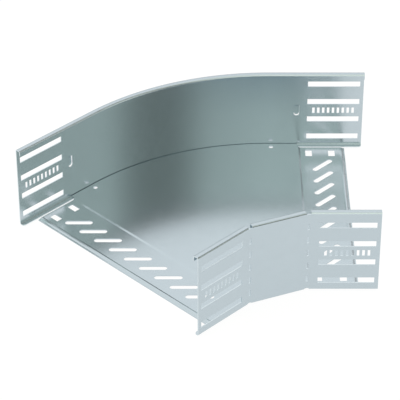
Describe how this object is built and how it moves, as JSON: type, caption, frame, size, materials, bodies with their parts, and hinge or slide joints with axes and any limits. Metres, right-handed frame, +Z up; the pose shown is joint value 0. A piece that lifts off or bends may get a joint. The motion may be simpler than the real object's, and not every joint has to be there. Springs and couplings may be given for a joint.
{
  "type": "cable tray bend",
  "caption": "Horizontal cable tray bend in galvanised sheet steel: flat floor with perforated joint strips, curved outer wall and folded inner wall with slotted legs.",
  "frame": {"origin": "below the middle of the part's box, at the level of the tips of the two lead-in lips", "axes": "+X across the bend from the left leg to the right, +Y towards the outside of the turn, +Z up; the part is mirrored about the YZ plane"},
  "size_m": [0.443, 0.3396, 0.1063],
  "materials": {
    "floor_plate": "galvanised sheet, rolled and fairly bright",
    "outer_wall": "galvanised sheet, rolled and fairly bright",
    "inner_wall": "galvanised sheet, rolled and fairly bright"
  },
  "bodies": {
    "root": {"floor_plate": "floor_plate", "outer_wall": "outer_wall", "inner_wall": "inner_wall"}
  },
  "joints": []
}
